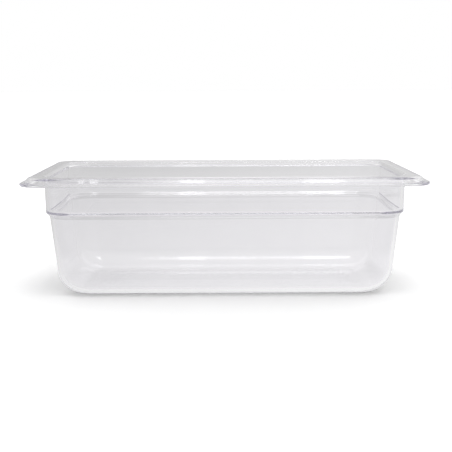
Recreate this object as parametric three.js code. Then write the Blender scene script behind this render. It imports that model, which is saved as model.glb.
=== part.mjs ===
// A clear polycarbonate food pan, one third of the standard gastronorm footprint and 100 mm deep.
// The real pan is a single injection moulding, so the model is one closed body.
// Millimetres, +Z up. X runs along the long side, and the origin is under the centre of the base.
import * as THREE from 'three';

// Outer size.
const LENGTH = 325;
const WIDTH = 176;
const HEIGHT = 100;

// Wall: the upper wall is nearly upright, and the lower wall leans in so that pans nest.
const WALL = 2.5;
const UPPER_DRAFT = THREE.MathUtils.degToRad(0.7);
const LOWER_DRAFT = THREE.MathUtils.degToRad(5.3);
const WALL_CORNER = 20.5;

// Shoulder: the sloping step between the two walls. Its inside is the seat of a nested pan.
const SHOULDER_Z = 69.6;
const SHOULDER_DROP = 2.8;
const SHOULDER_STEP = 2.5;
const SHOULDER_RADIUS = 1.6;
const SHOULDER_FOOT_RADIUS = 5;
const SEAT_Z = 71.6;
const SEAT_DROP = 3.2;
const SEAT_RADIUS = 1.6;

// Flange: a flat rim with a step down to a thin lip all round.
const OVERHANG = 16.5;
const FLANGE_THICKNESS = 3;
const FLANGE_CORNER = 20;
const LIP_REACH = 3.6;
const LIP_THICKNESS = 2.4;
const LIP_TOP_Z = 96;
const LIP_UNDERSIDE_Z = LIP_TOP_Z - LIP_THICKNESS;
const NOSE_RADIUS = 1.1;
const STEP_LEAN = 2.8;
const STEP_RADIUS = 3;
const STEP_FOOT_RADIUS = 2;
const RIM_EDGE_RADIUS = 3.5;
const INNER_FILLET = 1.5;

// Base: a foot ring round a shallow recess, with the stub of the moulding gate in the middle.
const BASE_THICKNESS = 3;
const BASE_FILLET = 22;
const FOOT_CORNER = 5;
const FOOT_EASE = 1.3;
const FOOT_WIDTH = 7;
const RECESS_DEPTH = 0.4;
const RECESS_SLOPE = 20;
const RECESS_CORNER = 12;
const GATE_RADIUS = 3;
const GATE_HEIGHT = 0.2;

// Fineness of the curves.
const CORNER_STEPS = 8;
const ARC_STEPS = 4;
const BIG_ARC_STEPS = 8;

// How far in from the lip's edge each upright surface stands.
const upperInset = (z) => OVERHANG + (HEIGHT - z) * Math.tan(UPPER_DRAFT);
const SHOULDER_INSET = upperInset(SHOULDER_Z);
const LOWER_TOP_Z = SHOULDER_Z - SHOULDER_DROP;
const LOWER_TOP_INSET = SHOULDER_INSET + SHOULDER_STEP;
const lowerInset = (z) => LOWER_TOP_INSET + (LOWER_TOP_Z - z) * Math.tan(LOWER_DRAFT);

// How far in from the lip's edge a fillet between the lower wall and a flat at height z ends.
const filletEndInset = (z, radius) => lowerInset(z) + radius * Math.tan(Math.PI / 4 - LOWER_DRAFT / 2);

// A corner of the wall's section: how far in it is, its height, and the radius that rounds it.
const point = (inset, z, radius = 0, steps = ARC_STEPS) => ({ at: new THREE.Vector2(inset, z), radius, steps });

// The arc that rounds one corner of a section, from the side it is met on to the side it is left on.
function roundedCorner(before, corner, after) {
  const back = before.at.clone().sub(corner.at).normalize();
  const ahead = after.at.clone().sub(corner.at).normalize();
  const halfAngle = Math.acos(THREE.MathUtils.clamp(back.dot(ahead), -1, 1)) / 2;
  const towardsCentre = back.clone().add(ahead).normalize();
  const centre = corner.at.clone().addScaledVector(towardsCentre, corner.radius / Math.sin(halfAngle));
  const start = corner.at.clone().addScaledVector(back, corner.radius / Math.tan(halfAngle)).sub(centre);
  const side = Math.sign(back.cross(ahead));
  const turn = -side * (Math.PI - 2 * halfAngle);
  const arc = [];
  for (let i = 0; i <= corner.steps; i += 1) {
    arc.push(start.clone().rotateAround(new THREE.Vector2(), (turn * i) / corner.steps).add(centre));
  }
  return arc;
}

// A section drawn through its corners, with each corner rounded. Its two end points stay sharp.
function roundedSection(corners) {
  const inner = corners.slice(1, -1).flatMap((corner, i) => (
    corner.radius > 0 ? roundedCorner(corners[i], corner, corners[i + 2]) : [corner.at]
  ));
  return [corners[0].at, ...inner, corners[corners.length - 1].at];
}

// Plan corner radius of a wall: constant down the wall, then easing down to the foot's over the base fillet.
const wallCorner = (radius, filletInset, footInset) => (inset) => {
  const along = THREE.MathUtils.clamp((inset - filletInset) / (footInset - filletInset), 0, 1);
  return radius - (radius - FOOT_CORNER) * along ** FOOT_EASE;
};

// Plan corner radius that changes evenly from one inset to another.
function evenCorner(fromInset, fromRadius, toInset, toRadius) {
  return (inset) => THREE.MathUtils.mapLinear(inset, fromInset, toInset, fromRadius, toRadius);
}

// Turns section points into rings, each with its half length, half width, height and plan corner radius.
function rings(section, cornerAt) {
  return section.map((p) => ({
    halfLength: LENGTH / 2 - p.x,
    halfWidth: WIDTH / 2 - p.x,
    z: p.y,
    corner: cornerAt(p.x),
  }));
}

// The underside, from the gate stub in the middle out to the foot ring.
function undersideRings(footInset) {
  const stubTopZ = RECESS_DEPTH - GATE_HEIGHT;
  const circle = (radius, z) => ({ halfLength: radius, halfWidth: radius, z, corner: radius });
  const foot = [
    new THREE.Vector2(footInset + FOOT_WIDTH + RECESS_SLOPE, RECESS_DEPTH),
    new THREE.Vector2(footInset + FOOT_WIDTH, 0),
  ];
  return [
    circle(GATE_RADIUS - GATE_HEIGHT, stubTopZ),
    circle(GATE_RADIUS, RECESS_DEPTH),
    ...rings(foot, () => RECESS_CORNER),
  ];
}

// The outside, from the foot ring up to the corner under the flange.
function outerWallRings(footInset) {
  const undersideZ = HEIGHT - FLANGE_THICKNESS;
  const section = roundedSection([
    point(footInset + FOOT_WIDTH, 0),
    point(lowerInset(0), 0, BASE_FILLET, BIG_ARC_STEPS),
    point(LOWER_TOP_INSET, LOWER_TOP_Z, SHOULDER_FOOT_RADIUS),
    point(SHOULDER_INSET, SHOULDER_Z, SHOULDER_RADIUS),
    point(upperInset(undersideZ), undersideZ, INNER_FILLET),
    point(OVERHANG - 2 * INNER_FILLET, undersideZ),
  ]);
  return rings(section.slice(1, -1), wallCorner(WALL_CORNER, lowerInset(BASE_FILLET), footInset));
}

// The flange's underside, from the wall out to the bottom of the lip.
function flangeUndersideRings() {
  const undersideZ = HEIGHT - FLANGE_THICKNESS;
  const stepInset = LIP_REACH + WALL;
  const section = roundedSection([
    point(OVERHANG - 2 * INNER_FILLET, undersideZ),
    point(stepInset + STEP_LEAN, undersideZ, INNER_FILLET),
    point(stepInset, LIP_UNDERSIDE_Z, INNER_FILLET),
    point(NOSE_RADIUS, LIP_UNDERSIDE_Z),
  ]);
  const lipCorner = (inset) => FLANGE_CORNER - inset;
  const seatCorner = evenCorner(stepInset, FLANGE_CORNER - stepInset, OVERHANG, WALL_CORNER);
  return rings(section.slice(1, -1), (inset) => Math.max(lipCorner(inset), seatCorner(inset)));
}

// The lip's rounded nose, its top and the step up to the flat rim.
function lipRings() {
  const section = roundedSection([
    point(OVERHANG, LIP_UNDERSIDE_Z),
    point(0, LIP_UNDERSIDE_Z, NOSE_RADIUS),
    point(0, LIP_TOP_Z, NOSE_RADIUS),
    point(LIP_REACH, LIP_TOP_Z, STEP_FOOT_RADIUS),
    point(LIP_REACH + STEP_LEAN, HEIGHT, STEP_RADIUS),
    point(OVERHANG, HEIGHT),
  ]);
  return rings(section.slice(1, -1), (inset) => FLANGE_CORNER - inset);
}

// The rounded edge of the opening.
function openingRings() {
  const section = roundedSection([
    point(LIP_REACH, HEIGHT),
    point(OVERHANG + WALL, HEIGHT, RIM_EDGE_RADIUS),
    point(SHOULDER_INSET + WALL, SHOULDER_Z),
  ]);
  return rings(section.slice(1, -1), (inset) => WALL_CORNER - WALL + (OVERHANG + WALL - inset));
}

// The inside, from below the edge of the opening down to the floor of the pan.
function innerWallRings() {
  const fillet = BASE_FILLET - WALL;
  const section = roundedSection([
    point(OVERHANG + WALL, HEIGHT),
    point(SHOULDER_INSET + WALL, SEAT_Z, SEAT_RADIUS),
    point(LOWER_TOP_INSET + WALL, SEAT_Z - SEAT_DROP, SEAT_RADIUS),
    point(lowerInset(BASE_THICKNESS) + WALL, BASE_THICKNESS, fillet, BIG_ARC_STEPS),
    point(LENGTH / 2, BASE_THICKNESS),
  ]);
  const filletInset = lowerInset(BASE_THICKNESS + fillet) + WALL;
  const floorInset = filletEndInset(BASE_THICKNESS, fillet) + WALL;
  return rings(section.slice(1, -1), wallCorner(WALL_CORNER - WALL, filletInset, floorInset));
}

// The plan outline of one ring: a rectangle with rounded corners, counter-clockwise from above.
function outline(ring) {
  const points = [];
  for (let quarter = 0; quarter < 4; quarter += 1) {
    const signX = quarter === 0 || quarter === 3 ? 1 : -1;
    const signY = quarter < 2 ? 1 : -1;
    for (let i = 0; i <= CORNER_STEPS; i += 1) {
      const angle = (Math.PI / 2) * (quarter + i / CORNER_STEPS);
      points.push(new THREE.Vector3(
        signX * (ring.halfLength - ring.corner) + ring.corner * Math.cos(angle),
        signY * (ring.halfWidth - ring.corner) + ring.corner * Math.sin(angle),
        ring.z,
      ));
    }
  }
  return points;
}

// Joins rings into one closed skin, with a flat cap on the first and the last.
function loft(allRings) {
  const outlines = allRings.map(outline);
  const count = outlines[0].length;
  const faces = [];
  for (let ring = 0; ring < outlines.length - 1; ring += 1) {
    for (let i = 0; i < count; i += 1) {
      const a = ring * count + i;
      const b = ring * count + ((i + 1) % count);
      faces.push(a, b, b + count, a, b + count, a + count);
    }
  }
  const last = (outlines.length - 1) * count;
  for (let i = 1; i < count - 1; i += 1) {
    faces.push(0, i + 1, i);
    faces.push(last, last + i, last + i + 1);
  }
  const geometry = new THREE.BufferGeometry().setFromPoints(outlines.flat());
  geometry.setIndex(faces);
  geometry.computeVertexNormals();
  return geometry;
}

// Clear plastic with a faint cool grey tint.
function clearPlastic() {
  return new THREE.MeshStandardMaterial({
    color: 0xdfe1e6,
    roughness: 0.08,
    metalness: 0,
    transparent: true,
    opacity: 0.35,
  });
}

// The whole pan, in one piece.
function pan() {
  const footInset = filletEndInset(0, BASE_FILLET);
  const skin = loft([
    ...undersideRings(footInset),
    ...outerWallRings(footInset),
    ...flangeUndersideRings(),
    ...lipRings(),
    ...openingRings(),
    ...innerWallRings(),
  ]);
  const mesh = new THREE.Mesh(skin, clearPlastic());
  mesh.name = 'pan';
  return mesh;
}

const part = new THREE.Group();
part.add(pan());

export default part;
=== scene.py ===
"""A clear food pan on a pale studio floor: the looks of the part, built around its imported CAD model.

Metres, +Z up, X along the pan's long side. The overall size comes from the frame, and the wall's section
repeats the one that the CAD model is built on, with finer curves.
"""
import math

import bpy
from mathutils import Matrix, Vector


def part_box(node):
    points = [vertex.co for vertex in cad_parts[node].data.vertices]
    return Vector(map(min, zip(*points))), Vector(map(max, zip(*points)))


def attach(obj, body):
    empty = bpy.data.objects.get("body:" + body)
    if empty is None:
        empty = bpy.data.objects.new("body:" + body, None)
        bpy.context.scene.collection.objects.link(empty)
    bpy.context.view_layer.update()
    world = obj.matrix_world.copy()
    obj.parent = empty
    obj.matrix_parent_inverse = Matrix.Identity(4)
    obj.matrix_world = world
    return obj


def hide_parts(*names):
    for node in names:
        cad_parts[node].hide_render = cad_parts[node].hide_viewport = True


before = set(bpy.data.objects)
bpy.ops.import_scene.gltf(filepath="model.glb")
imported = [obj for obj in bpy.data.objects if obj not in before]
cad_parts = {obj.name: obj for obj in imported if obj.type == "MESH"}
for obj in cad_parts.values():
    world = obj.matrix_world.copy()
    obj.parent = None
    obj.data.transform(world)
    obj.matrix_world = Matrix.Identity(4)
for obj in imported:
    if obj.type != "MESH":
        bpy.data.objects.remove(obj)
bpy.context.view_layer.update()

# Overall size, from the frame.
pan_low, pan_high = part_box("pan")
LENGTH = pan_high[0] - pan_low[0]
WIDTH = pan_high[1] - pan_low[1]
HEIGHT = pan_high[2] - pan_low[2]

MM = 0.001

# Wall.
WALL = 2.5 * MM
UPPER_DRAFT = math.radians(0.7)
LOWER_DRAFT = math.radians(5.3)
WALL_CORNER = 20.5 * MM

# Shoulder between the two walls.
SHOULDER_Z = 69.6 * MM
SHOULDER_DROP = 2.8 * MM
SHOULDER_STEP = 2.5 * MM
SHOULDER_RADIUS = 1.6 * MM
SHOULDER_FOOT_RADIUS = 5 * MM
SEAT_Z = 71.6 * MM
SEAT_DROP = 3.2 * MM
SEAT_RADIUS = 1.6 * MM

# Flange.
OVERHANG = 16.5 * MM
FLANGE_THICKNESS = 3 * MM
FLANGE_CORNER = 20 * MM
LIP_REACH = 3.6 * MM
LIP_THICKNESS = 2.4 * MM
LIP_TOP_Z = 96 * MM
LIP_UNDERSIDE_Z = LIP_TOP_Z - LIP_THICKNESS
NOSE_RADIUS = 1.1 * MM
STEP_LEAN = 2.8 * MM
STEP_RADIUS = 3 * MM
STEP_FOOT_RADIUS = 2 * MM
RIM_EDGE_RADIUS = 3.5 * MM
INNER_FILLET = 1.5 * MM

# Base.
BASE_THICKNESS = 3 * MM
BASE_FILLET = 22 * MM
FOOT_CORNER = 5 * MM
FOOT_EASE = 1.3
FOOT_WIDTH = 7 * MM
FOOT_EDGE_RADIUS = 250 * MM
RECESS_DEPTH = 0.4 * MM
RECESS_SLOPE = 20 * MM
RECESS_CORNER = 12 * MM
GATE_RADIUS = 3 * MM
GATE_HEIGHT = 0.2 * MM
GATE_EDGE_RADIUS = 0.08 * MM

# Fineness of the curves.
CORNER_STEPS = 32
ARC_STEPS = 10
BIG_ARC_STEPS = 24

# The step that a slope is measured over.
NUDGE = 0.001 * MM


def upper_inset(z):
    """How far in from the lip's edge the upper wall's outside stands."""
    return OVERHANG + (HEIGHT - z) * math.tan(UPPER_DRAFT)


SHOULDER_INSET = upper_inset(SHOULDER_Z)
LOWER_TOP_Z = SHOULDER_Z - SHOULDER_DROP
LOWER_TOP_INSET = SHOULDER_INSET + SHOULDER_STEP


def lower_inset(z):
    """How far in from the lip's edge the lower wall's outside stands."""
    return LOWER_TOP_INSET + (LOWER_TOP_Z - z) * math.tan(LOWER_DRAFT)


def fillet_end_inset(z, radius):
    """How far in from the lip's edge a fillet between the lower wall and a flat at height z ends."""
    return lower_inset(z) + radius * math.tan(math.pi / 4 - LOWER_DRAFT / 2)


# ---------------------------------------------------------------- the pan's section

def point(inset, z, radius=0.0, steps=ARC_STEPS):
    """A corner of the section: its place, and the radius that rounds it."""
    return Vector((inset, z)), radius, steps


def rounded_corner(before, corner, after):
    """The arc that rounds one corner, as (place, normal) pairs. A normal is (outward, up)."""
    at, radius, steps = corner
    back = (before[0] - at).normalized()
    ahead = (after[0] - at).normalized()
    half = math.acos(max(-1.0, min(1.0, back.dot(ahead)))) / 2
    centre = at + (back + ahead).normalized() * radius / math.sin(half)
    start = at + back * radius / math.tan(half) - centre
    side = 1 if back.x * ahead.y - back.y * ahead.x > 0 else -1
    arc = []
    for i in range(steps + 1):
        spoke = Matrix.Rotation(-side * (math.pi - 2 * half) * i / steps, 2) @ start
        facing = spoke.normalized() * side
        arc.append((centre + spoke, Vector((-facing.x, facing.y))))
    return arc


def rounded_section(corners):
    """A section drawn through its corners, all but the two end ones rounded, as (place, normal) pairs."""
    made = []
    for before, corner, after in zip(corners, corners[1:], corners[2:]):
        made += rounded_corner(before, corner, after)
    return made


def new_ring(half_length, half_width, place, corner, shrink, facing):
    """One ring: a rectangle with round corners, and how fast its corner radius shrinks with the inset."""
    return {
        "half_length": half_length,
        "half_width": half_width,
        "z": place.y,
        "corner": corner,
        "shrink": shrink,
        "facing": facing,
    }


def rings(section, corner_at):
    """A ring for each section point, with the plan corner radius that corner_at gives for its inset."""
    made = []
    for place, facing in section:
        inset = place.x
        corner = corner_at(inset)
        shrink = (corner_at(inset - NUDGE) - corner_at(inset + NUDGE)) / (2 * NUDGE)
        made.append(new_ring(LENGTH / 2 - inset, WIDTH / 2 - inset, place, corner, shrink, facing))
    return made


def circles(section):
    """Section points as round rings about the middle of the base, their insets counted from there."""
    return [new_ring(-place.x, -place.x, place, -place.x, 1.0, facing) for place, facing in section]


def wall_corner(radius, fillet_inset, foot_inset):
    """Plan corner radius of a wall: constant down it, then easing to the foot's over the base fillet."""
    def corner_at(inset):
        along = min(1.0, max(0.0, (inset - fillet_inset) / (foot_inset - fillet_inset)))
        return radius - (radius - FOOT_CORNER) * along ** FOOT_EASE

    return corner_at


def gate_rings():
    """The stub that the moulding gate leaves in the middle of the recess."""
    stub_z = RECESS_DEPTH - GATE_HEIGHT
    return circles(rounded_section([
        point(0, stub_z),
        point(GATE_HEIGHT - GATE_RADIUS, stub_z, GATE_EDGE_RADIUS),
        point(-GATE_RADIUS, RECESS_DEPTH, GATE_EDGE_RADIUS),
        point(-2 * GATE_RADIUS, RECESS_DEPTH),
    ]))


def foot_rings(foot_inset):
    """The edge of the recess and the inside of the foot ring."""
    return rings(rounded_section([
        point(WIDTH / 2, RECESS_DEPTH),
        point(foot_inset + FOOT_WIDTH + RECESS_SLOPE, RECESS_DEPTH, FOOT_EDGE_RADIUS),
        point(foot_inset + FOOT_WIDTH, 0, FOOT_EDGE_RADIUS),
        point(foot_inset, 0),
    ]), lambda inset: RECESS_CORNER)


def outer_wall_rings(foot_inset):
    """The outside, from the foot ring up to the corner under the flange."""
    underside_z = HEIGHT - FLANGE_THICKNESS
    return rings(rounded_section([
        point(WIDTH / 2, 0),
        point(lower_inset(0), 0, BASE_FILLET, BIG_ARC_STEPS),
        point(LOWER_TOP_INSET, LOWER_TOP_Z, SHOULDER_FOOT_RADIUS),
        point(SHOULDER_INSET, SHOULDER_Z, SHOULDER_RADIUS),
        point(upper_inset(underside_z), underside_z, INNER_FILLET),
        point(LIP_REACH, underside_z),
    ]), wall_corner(WALL_CORNER, lower_inset(BASE_FILLET), foot_inset))


def flange_underside_rings():
    """The flange's underside, from the wall out to the bottom of the lip."""
    underside_z = HEIGHT - FLANGE_THICKNESS
    step_inset = LIP_REACH + WALL

    def corner_at(inset):
        to_wall = (inset - step_inset) / (OVERHANG - step_inset)
        lip_corner = FLANGE_CORNER - inset
        seat_corner = (FLANGE_CORNER - step_inset) * (1 - to_wall) + WALL_CORNER * to_wall
        return max(lip_corner, seat_corner)

    return rings(rounded_section([
        point(OVERHANG, underside_z),
        point(step_inset + STEP_LEAN, underside_z, INNER_FILLET),
        point(step_inset, LIP_UNDERSIDE_Z, INNER_FILLET),
        point(0, LIP_UNDERSIDE_Z),
    ]), corner_at)


def lip_rings():
    """The lip's rounded nose, its top and the step up to the flat rim."""
    return rings(rounded_section([
        point(OVERHANG, LIP_UNDERSIDE_Z),
        point(0, LIP_UNDERSIDE_Z, NOSE_RADIUS),
        point(0, LIP_TOP_Z, NOSE_RADIUS),
        point(LIP_REACH, LIP_TOP_Z, STEP_FOOT_RADIUS),
        point(LIP_REACH + STEP_LEAN, HEIGHT, STEP_RADIUS),
        point(OVERHANG, HEIGHT),
    ]), lambda inset: FLANGE_CORNER - inset)


def opening_rings():
    """The rounded edge of the opening."""
    return rings(rounded_section([
        point(LIP_REACH, HEIGHT),
        point(OVERHANG + WALL, HEIGHT, RIM_EDGE_RADIUS),
        point(SHOULDER_INSET + WALL, SHOULDER_Z),
    ]), lambda inset: WALL_CORNER + OVERHANG - inset)


def inner_wall_rings():
    """The inside, from below the edge of the opening down to the floor of the pan."""
    fillet = BASE_FILLET - WALL
    fillet_inset = lower_inset(BASE_THICKNESS + fillet) + WALL
    floor_inset = fillet_end_inset(BASE_THICKNESS, fillet) + WALL
    return rings(rounded_section([
        point(OVERHANG + WALL, HEIGHT),
        point(SHOULDER_INSET + WALL, SEAT_Z, SEAT_RADIUS),
        point(LOWER_TOP_INSET + WALL, SEAT_Z - SEAT_DROP, SEAT_RADIUS),
        point(lower_inset(BASE_THICKNESS) + WALL, BASE_THICKNESS, fillet, BIG_ARC_STEPS),
        point(LENGTH / 2, BASE_THICKNESS),
    ]), wall_corner(WALL_CORNER - WALL, fillet_inset, floor_inset))


# ---------------------------------------------------------------- the pan's mesh

def outline(ring):
    """One ring's plan outline and normals, counter-clockwise from above."""
    corner, facing, shrink = ring["corner"], ring["facing"], ring["shrink"]
    made = []
    for quarter, (sign_x, sign_y) in enumerate(((1, 1), (-1, 1), (-1, -1), (1, -1))):
        centre_x = sign_x * (ring["half_length"] - corner)
        centre_y = sign_y * (ring["half_width"] - corner)
        centre = Vector((centre_x, centre_y, ring["z"]))
        for i in range(CORNER_STEPS + 1):
            angle = math.pi / 2 * (quarter + i / CORNER_STEPS)
            across = Vector((math.cos(angle), math.sin(angle), 0))
            rise = (1 - shrink) * (abs(across.x) + abs(across.y)) + shrink
            normal = across * facing.x + Vector((0, 0, facing.y * rise))
            made.append((centre + across * corner, normal.normalized()))
    return made


def loft(name, all_rings):
    """One closed skin through all the rings, with a flat cap on the first and the last."""
    outlines = [outline(ring) for ring in all_rings]
    count = len(outlines[0])
    places = [place for line in outlines for place, normal in line]
    normals = [normal for line in outlines for place, normal in line]
    faces = [tuple(reversed(range(count)))]
    for start in range(0, len(places) - count, count):
        for i in range(count):
            j = (i + 1) % count
            faces.append((start + i, start + j, start + j + count, start + i + count))
    faces.append(tuple(range(len(places) - count, len(places))))
    mesh = bpy.data.meshes.new(name)
    mesh.from_pydata(places, [], faces)
    mesh.shade_smooth()
    mesh.normals_split_custom_set_from_vertices(normals)
    made = bpy.data.objects.new(name, mesh)
    bpy.context.collection.objects.link(made)
    return made


def build_pan():
    """The whole pan, as one closed piece."""
    foot_inset = fillet_end_inset(0, BASE_FILLET)
    return loft("pan_body", [
        *gate_rings(),
        *foot_rings(foot_inset),
        *outer_wall_rings(foot_inset),
        *flange_underside_rings(),
        *lip_rings(),
        *opening_rings(),
        *inner_wall_rings(),
    ])


# ---------------------------------------------------------------- materials

# Clear polycarbonate. What it absorbs on the way gives the thick edges their tint.
REFRACTIVE_INDEX = 1.585
ABSORPTION_COLOUR = (0.57, 0.55, 0.65, 1)
ABSORPTION_DENSITY = 1.8

# Its surface. A scale is in features to the metre, and a range is where the noise turns from 0 to 1.
WAVE_SCALE = 18.0
WAVE_DETAIL = 1.0
WAVE_HEIGHT = 0.05 * MM
GRAIN_SCALE = 45.0
GRAIN_DETAIL = 4.0
TINT_STOPS = ((0.3, (0.966, 0.961, 0.976)), (0.7, (0.982, 0.977, 0.99)))
LEAST_ROUGHNESS = 0.004
GRAIN_ROUGHNESS = 0.012

SCRATCH_SCALE = 900.0
SCRATCH_LENGTH_SCALE = 0.04
SCRATCH_RANGE = (0.74, 0.80)
SCRATCH_PATCH_SCALE = 25.0
SCRATCH_PATCH_DETAIL = 2.0
SCRATCH_PATCH_RANGE = (0.45, 0.65)
SCRATCH_DEPTH = 0.002 * MM
SCRATCH_ROUGHNESS = 0.1
SCRATCH_TURNS = (0.3, 1.2)

SCUFF_SCALE = 400.0
SCUFF_DETAIL = 6.0
SCUFF_RANGE = (0.4, 0.7)
SCUFF_DEPTH = 0.01 * MM
SCUFF_ROUGHNESS = 0.2
SCUFFED_FOOT = 1.2 * MM
SCUFFED_LIP = 1.5 * MM


class Nodes:
    """A short way to add and link the nodes of one tree."""

    def __init__(self, tree):
        self.tree = tree
        self.tree.nodes.clear()

    def add(self, kind, inputs=None, **settings):
        """Adds a node, with its inputs set from plain values or from other nodes' outputs."""
        node = self.tree.nodes.new(kind)
        for name, value in settings.items():
            setattr(node, name, value)
        for name, value in (inputs or {}).items():
            if isinstance(value, bpy.types.NodeSocket):
                self.tree.links.new(value, node.inputs[name])
            else:
                node.inputs[name].default_value = value
        return node

    def maths(self, operation, *values):
        """The result of a maths node."""
        return self.add("ShaderNodeMath", dict(enumerate(values)), operation=operation).outputs[0]

    def smooth(self, value, start, end, low=0.0, high=1.0):
        """Goes smoothly from low to high while value goes from start to end."""
        return self.add("ShaderNodeMapRange", {
            "Value": value, "From Min": start, "From Max": end, "To Min": low, "To Max": high,
        }, interpolation_type="SMOOTHSTEP").outputs[0]

    def window(self, value, rise, full, fall, end):
        """Rises smoothly from 0 to 1 between the first two values, and falls again between the last two."""
        up = self.smooth(value, rise, full)
        return self.maths("MULTIPLY", up, self.smooth(value, fall, end, 1.0, 0.0))

    def ramp(self, value, stops):
        """A colour that follows value through (place, colour) stops. A plain number stands for a grey."""
        node = self.add("ShaderNodeValToRGB", {"Fac": value})
        elements = node.color_ramp.elements
        for place, colour in stops[1:-1]:
            elements.new(place)
        for element, (place, colour) in zip(elements, stops):
            element.position = place
            colour = colour if isinstance(colour, tuple) else (colour, colour, colour)
            element.color = (*colour, 1)
        return node.outputs["Color"]

    def noise(self, vector, scale, detail):
        """Cloudy noise between 0 and 1, with scale features to the metre."""
        inputs = {"Vector": vector, "Scale": scale, "Detail": detail}
        return self.add("ShaderNodeTexNoise", inputs).outputs[0]

    def scratches(self, vector, turn):
        """Sparse hairlines, 1 where there is one, that run along X turned by turn."""
        lines = self.add("ShaderNodeMapping", {
            "Vector": vector,
            "Rotation": (turn / 3, turn / 2, turn),
            "Scale": (SCRATCH_LENGTH_SCALE, 1.0, 1.0),
        }).outputs[0]
        return self.smooth(self.noise(lines, SCRATCH_SCALE, 0.0), *SCRATCH_RANGE)


def new_material(name):
    """A material with an empty node tree, and the tree's nodes."""
    material = bpy.data.materials.new(name)
    material.use_nodes = True
    return material, Nodes(material.node_tree)


def scuffed_places(nodes, place):
    """1 at the foot and at the edge of the lip, where the pan rubs, fading to 0 a little way off."""
    split = nodes.add("ShaderNodeSeparateXYZ", {"Vector": place})
    foot = nodes.smooth(split.outputs["Z"], 0.0, SCUFFED_FOOT, 1.0, 0.0)
    ends = nodes.maths("ABSOLUTE", split.outputs["X"])
    sides = nodes.maths("ABSOLUTE", split.outputs["Y"])
    lip_ends = nodes.smooth(ends, LENGTH / 2 - SCUFFED_LIP, LENGTH / 2)
    lip_sides = nodes.smooth(sides, WIDTH / 2 - SCUFFED_LIP, WIDTH / 2)
    return nodes.maths("MAXIMUM", foot, nodes.maths("MAXIMUM", lip_ends, lip_sides))


def clear_plastic():
    """Clear moulded polycarbonate: faint waves and tint in the sheet, hairline scratches, scuffed edges."""
    material, nodes = new_material("clear_polycarbonate")
    place = nodes.add("ShaderNodeTexCoord").outputs["Object"]
    waves = nodes.noise(place, WAVE_SCALE, WAVE_DETAIL)
    grain = nodes.noise(place, GRAIN_SCALE, GRAIN_DETAIL)
    tint = nodes.ramp(grain, TINT_STOPS)

    scratches = nodes.maths("MAXIMUM", *(nodes.scratches(place, turn) for turn in SCRATCH_TURNS))
    patches = nodes.noise(place, SCRATCH_PATCH_SCALE, SCRATCH_PATCH_DETAIL)
    patches = nodes.smooth(patches, *SCRATCH_PATCH_RANGE)
    scratches = nodes.maths("MULTIPLY", scratches, patches)
    scuffs = nodes.smooth(nodes.noise(place, SCUFF_SCALE, SCUFF_DETAIL), *SCUFF_RANGE)
    scuffs = nodes.maths("MULTIPLY", scuffed_places(nodes, place), scuffs)

    roughness = nodes.maths("MULTIPLY_ADD", grain, GRAIN_ROUGHNESS, LEAST_ROUGHNESS)
    roughness = nodes.maths("MULTIPLY_ADD", scratches, SCRATCH_ROUGHNESS, roughness)
    roughness = nodes.maths("MULTIPLY_ADD", scuffs, SCUFF_ROUGHNESS, roughness)
    height = nodes.maths("MULTIPLY", waves, WAVE_HEIGHT)
    height = nodes.maths("MULTIPLY_ADD", scratches, -SCRATCH_DEPTH, height)
    height = nodes.maths("MULTIPLY_ADD", scuffs, -SCUFF_DEPTH, height)
    bump = nodes.add("ShaderNodeBump", {"Height": height, "Distance": 1.0, "Strength": 1.0})

    surface = nodes.add("ShaderNodeBsdfPrincipled", {
        "Base Color": tint,
        "Roughness": roughness,
        "Normal": bump.outputs[0],
        "IOR": REFRACTIVE_INDEX,
        "Transmission Weight": 1.0,
    })
    inside = nodes.add("ShaderNodeVolumeAbsorption", {
        "Color": ABSORPTION_COLOUR, "Density": ABSORPTION_DENSITY,
    })
    nodes.add("ShaderNodeOutputMaterial", {"Surface": surface.outputs[0], "Volume": inside.outputs[0]})
    return material


# ---------------------------------------------------------------- stage

# The floor: a wide square, a hair under the pan.
FLOOR_REACH = 12.0
FLOOR_GAP = 0.2 * MM

# What the pan shows of it is a glow with painted light and shade, not a lit floor: a painted shadow under
# the pan, a painted pool of light just ahead of it, darker towards the back, and one side lighter than the
# other. Its brightness along Y, as (metres, grey), and from one side to the other.
FLOOR_NEAR_Y = -1.2
FLOOR_FAR_Y = 1.2
FLOOR_PAINTED_SHADE = (
    (-1.2, 0.8), (-0.6, 0.9), (-0.32, 1.02), (-0.18, 1.16), (-0.08, 0.89),
    (0.08, 0.84), (0.15, 0.77), (0.4, 0.76), (0.7, 0.73), (1.2, 0.64),
)
FLOOR_SIDES = (-0.4, 0.3)
FLOOR_SIDE_PAINTED_SHADE = (0.91, 1.08)

# What the camera sees of it: how much it is overexposed, and a soft shadow painted into its colour where
# the pan stands, darker where the pan is near.
FLOOR_GAIN = 1.42
PAINTED_SHADOW_REACH = 0.045
PAINTED_SHADOW_GREY = 0.86
CONTACT_SAMPLES = 16

# The studio's light. A direction is given by its angle over the X axis in degrees, from the front
# horizon (0) to the back one (180), and by how far it leans towards +X (from -1 to 1).
ROOM_FADE = (
    (0, 1.12), (20, 0.84), (50, 1.23), (80, 0.97), (110, 0.85),
    (140, 1.45), (155, 0.96), (168, 0.82), (180, 0.88),
)
ROOM_LEANS = (-0.15, -0.03)
ROOM_LEAN_GREYS = (0.85, 1.0)

# A broad light overhead and a faint one at the back horizon: (angles, leans, strength). Each rises
# between its first two angles and its first two leans, and falls between its last two.
PANELS = (
    ((54, 63, 71, 78), (-0.112, -0.028, 0.285, 0.326), 1.7),
    ((171, 173, 174, 175), (-0.17, -0.02, 0.14, 0.18), 0.4),
)

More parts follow.
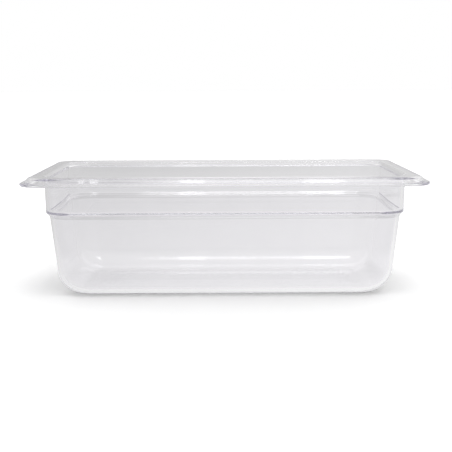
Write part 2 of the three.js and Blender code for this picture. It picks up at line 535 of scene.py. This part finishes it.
# Narrow strip lights: (angles, lean of the middle, half width, width of the halo, strength).
STRIPS = (
    ((60, 64, 71, 74), -0.033, 0.009, 0.010, 3.6),
    ((60, 64, 71, 74), 0.113, 0.014, 0.014, 3.0),
    ((60, 64, 71, 74), -0.140, 0.003, 0.003, 3.6),
    ((60, 64, 71, 74), -0.154, 0.002, 0.003, 3.0),
    ((67, 68.2, 69.6, 70.8), 0.025, 0.095, 0.03, 3.2),
)

# The camera: a 72 mm lens 0.78 m in front of the pan's middle and 76 mm above its rim.
CAMERA_PLACE = (-3.0 * MM, -779 * MM, HEIGHT + 75.7 * MM)
CAMERA_PITCH = math.radians(9.23)
CAMERA_YAW = math.radians(0.3)
CAMERA_ROLL = math.radians(-0.24)
CAMERA_SENSOR = 36.0
CAMERA_LENS = 71.76
CAMERA_CLIP = (0.01, 60.0)

LIGHT_BOUNCES = 256


def floor_material():
    """White to the camera with a soft shadow painted round the pan, and a glow with painted light and shade
    in what the pan shows of it.
    """
    material, nodes = new_material("studio_floor")
    place = nodes.add("ShaderNodeTexCoord")
    split = nodes.add("ShaderNodeSeparateXYZ", {"Vector": place.outputs["Object"]})
    depth = nodes.add("ShaderNodeMapRange", {
        "Value": split.outputs["Y"], "From Min": FLOOR_NEAR_Y, "From Max": FLOOR_FAR_Y,
    })
    # Painted light and shade of the floor by Y: a painted shadow under the pan and a painted pool of light
    # ahead of it.
    painted_floor_shade = nodes.ramp(depth.outputs[0], [
        ((y - FLOOR_NEAR_Y) / (FLOOR_FAR_Y - FLOOR_NEAR_Y), grey) for y, grey in FLOOR_PAINTED_SHADE
    ])
    side = nodes.smooth(split.outputs["X"], *FLOOR_SIDES, *FLOOR_SIDE_PAINTED_SHADE)
    # The floor glows with this painted light and shade, and each side is made lighter or darker, in what
    # the pan shows of it.
    painted_floor_glow = nodes.add("ShaderNodeEmission", {"Strength": nodes.maths("MULTIPLY", painted_floor_shade, side)})
    # Painted contact shadow: ambient occlusion darkens the floor's colour near the pan. white carries this
    # painted shadow.
    painted_shadow_occlusion = nodes.add("ShaderNodeAmbientOcclusion", {"Distance": PAINTED_SHADOW_REACH}, samples=CONTACT_SAMPLES)
    white = nodes.smooth(painted_shadow_occlusion.outputs["AO"], 0.0, 1.0, FLOOR_GAIN * PAINTED_SHADOW_GREY, FLOOR_GAIN)
    seen = nodes.add("ShaderNodeBsdfDiffuse", {"Color": white})
    path = nodes.add("ShaderNodeLightPath")
    mix = nodes.add("ShaderNodeMixShader", {
        0: path.outputs["Is Camera Ray"], 1: painted_floor_glow.outputs[0], 2: seen.outputs[0],
    })
    nodes.add("ShaderNodeOutputMaterial", {"Surface": mix.outputs[0]})
    return material


def build_floor():
    """The studio floor, just under the pan."""
    mesh = bpy.data.meshes.new("floor")
    corners = [(x * FLOOR_REACH, y * FLOOR_REACH, 0) for x, y in ((-1, -1), (1, -1), (1, 1), (-1, 1))]
    mesh.from_pydata(corners, [], [(0, 1, 2, 3)])
    floor = bpy.data.objects.new("floor", mesh)
    floor.data.materials.append(floor_material())
    floor.location.z = pan_low[2] - FLOOR_GAP
    bpy.context.collection.objects.link(floor)


def build_world():
    """White to the camera, and a soft studio in what the pan shows of it and in what lights the floor."""
    world = bpy.data.worlds.new("studio")
    bpy.context.scene.world = world
    world.use_nodes = True
    nodes = Nodes(world.node_tree)
    way = nodes.add("ShaderNodeTexCoord")
    split = nodes.add("ShaderNodeSeparateXYZ", {"Vector": way.outputs["Generated"]})
    forward = nodes.maths("MULTIPLY", split.outputs["Y"], -1.0)
    over = nodes.maths("ARCTAN2", nodes.maths("ABSOLUTE", split.outputs["Z"]), forward)
    lean = split.outputs["X"]

    room = nodes.ramp(nodes.maths("DIVIDE", over, math.pi), [
        (angle / 180, grey) for angle, grey in ROOM_FADE
    ])
    total = nodes.maths("MULTIPLY", room, nodes.smooth(lean, *ROOM_LEANS, *ROOM_LEAN_GREYS))
    for angles, leans, strength in PANELS:
        panel = nodes.window(over, *map(math.radians, angles))
        panel = nodes.maths("MULTIPLY", panel, nodes.window(lean, *leans))
        total = nodes.maths("MULTIPLY_ADD", panel, strength, total)
    for angles, lean_at, half_width, halo, strength in STRIPS:
        along = nodes.window(over, *map(math.radians, angles))
        off = nodes.maths("ABSOLUTE", nodes.maths("SUBTRACT", lean, lean_at))
        across = nodes.smooth(off, half_width, half_width + halo, 1.0, 0.0)
        strip = nodes.maths("MULTIPLY", along, across)
        total = nodes.maths("MULTIPLY_ADD", strip, strength, total)

    studio = nodes.add("ShaderNodeBackground", {"Strength": total})
    white = nodes.add("ShaderNodeBackground", {"Color": (1, 1, 1, 1), "Strength": 1.0})
    path = nodes.add("ShaderNodeLightPath")
    mix = nodes.add("ShaderNodeMixShader", {
        0: path.outputs["Is Camera Ray"], 1: studio.outputs[0], 2: white.outputs[0],
    })
    nodes.add("ShaderNodeOutputWorld", {"Surface": mix.outputs[0]})


def build_camera():
    """A long lens a little above the rim, looking slightly down."""
    data = bpy.data.cameras.new("camera")
    data.sensor_width = CAMERA_SENSOR
    data.lens = CAMERA_LENS
    data.clip_start, data.clip_end = CAMERA_CLIP
    level = Vector((math.sin(CAMERA_YAW), math.cos(CAMERA_YAW), 0))
    forward = level * math.cos(CAMERA_PITCH) - Vector((0, 0, math.sin(CAMERA_PITCH)))
    level_right = forward.cross(Vector((0, 0, 1))).normalized()
    level_up = level_right.cross(forward)
    right = level_right * math.cos(CAMERA_ROLL) + level_up * math.sin(CAMERA_ROLL)
    up = level_up * math.cos(CAMERA_ROLL) - level_right * math.sin(CAMERA_ROLL)
    turn = Matrix((right, up, -forward)).transposed().to_4x4()
    camera = bpy.data.objects.new("camera", data)
    camera.matrix_world = Matrix.Translation(CAMERA_PLACE) @ turn
    bpy.context.collection.objects.link(camera)
    bpy.context.scene.camera = camera


def set_colour_and_bounces():
    """Plain colours, and enough bounces for the light that is guided inside the clear walls."""
    scene = bpy.context.scene
    scene.view_settings.view_transform = "Standard"
    scene.view_settings.look = "None"
    scene.cycles.use_denoising = True
    scene.cycles.max_bounces = LIGHT_BOUNCES
    scene.cycles.transmission_bounces = LIGHT_BOUNCES
    scene.cycles.glossy_bounces = LIGHT_BOUNCES


pan = build_pan()
pan.data.materials.append(clear_plastic())
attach(pan, "root")
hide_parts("pan")

build_floor()
build_world()
build_camera()
set_colour_and_bounces()
